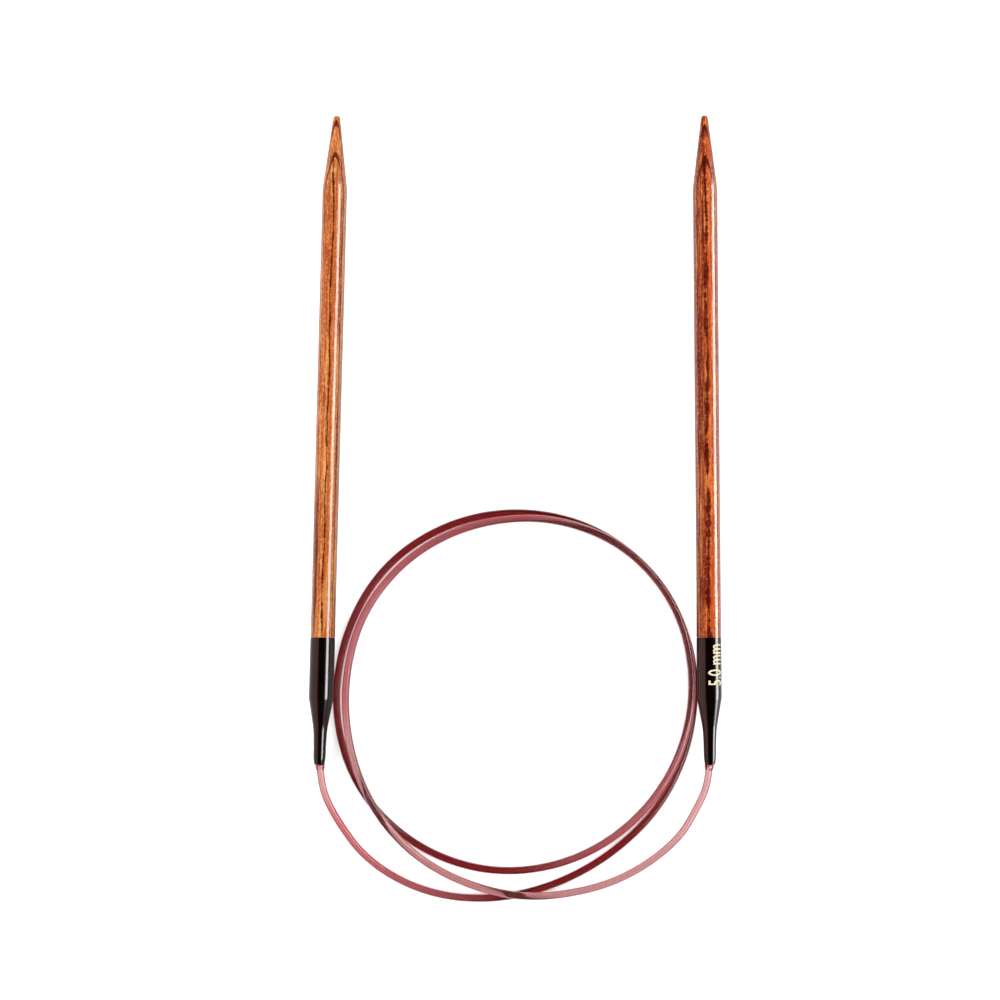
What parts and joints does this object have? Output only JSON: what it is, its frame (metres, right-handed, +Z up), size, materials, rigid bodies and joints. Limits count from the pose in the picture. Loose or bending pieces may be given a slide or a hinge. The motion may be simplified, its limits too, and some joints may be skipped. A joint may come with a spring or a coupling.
{
  "type": "circular knitting needle",
  "caption": "Circular knitting needle: two laminated wooden tips with dark tapered metal ferrules, joined by a looped translucent red nylon cable.",
  "frame": {"origin": "on the table under the middle of the two tips' bounding box", "axes": "+X to the right across the two tips, +Y along the tips towards their points, +Z up from the table"},
  "size_m": [0.0827, 0.1575, 0.005],
  "materials": {
    "left_wood": "clear varnish, glossy",
    "right_wood": "clear varnish, glossy",
    "ferrule_lacquer": "dark brown gloss lacquer on brass",
    "sleeve_steel": "plain steel",
    "cable_nylon": "translucent wine red, smooth"
  },
  "bodies": {
    "cable_left": {"cable": "cable_nylon", "left_crimp_sleeve": "sleeve_steel", "left_cable_collar": "cable_nylon"},
    "left_tip": {"left_ply_1": "left_wood", "left_ply_2": "left_wood", "left_ply_3": "left_wood", "left_ply_4": "left_wood", "left_ply_5": "left_wood", "left_ply_6": "left_wood", "left_ferrule": "ferrule_lacquer"},
    "cable_right": {"right_crimp_sleeve": "sleeve_steel", "right_cable_collar": "cable_nylon"},
    "right_tip": {"right_ply_1": "right_wood", "right_ply_2": "right_wood", "right_ply_3": "right_wood", "right_ply_4": "right_wood", "right_ply_5": "right_wood", "right_ply_6": "right_wood", "right_ferrule": "ferrule_lacquer"}
  },
  "joints": [
    {"name": "left_tip_twist", "type": "hinge", "parent": "cable_left", "child": "left_tip", "pos_m": [-0.03914, -0.0649, 0.0025], "axis": [0.027, 0.9996, 0], "range_deg": [-180, 180], "stiffness_Nm_per_rad": 0.00074},
    {"name": "cable_wind", "type": "hinge", "parent": "cable_left", "child": "cable_right", "pos_m": [0.0001, -0.0504, 0.0016], "axis": [0, 0, 1], "range_deg": [-35, 30], "stiffness_Nm_per_rad": 0.00089, "deforming": ["cable"]},
    {"name": "right_tip_twist", "type": "hinge", "parent": "cable_right", "child": "right_tip", "pos_m": [0.039, -0.0649, 0.0025], "axis": [-0.0087, 1, 0], "range_deg": [-180, 180], "stiffness_Nm_per_rad": 0.00074}
  ]
}
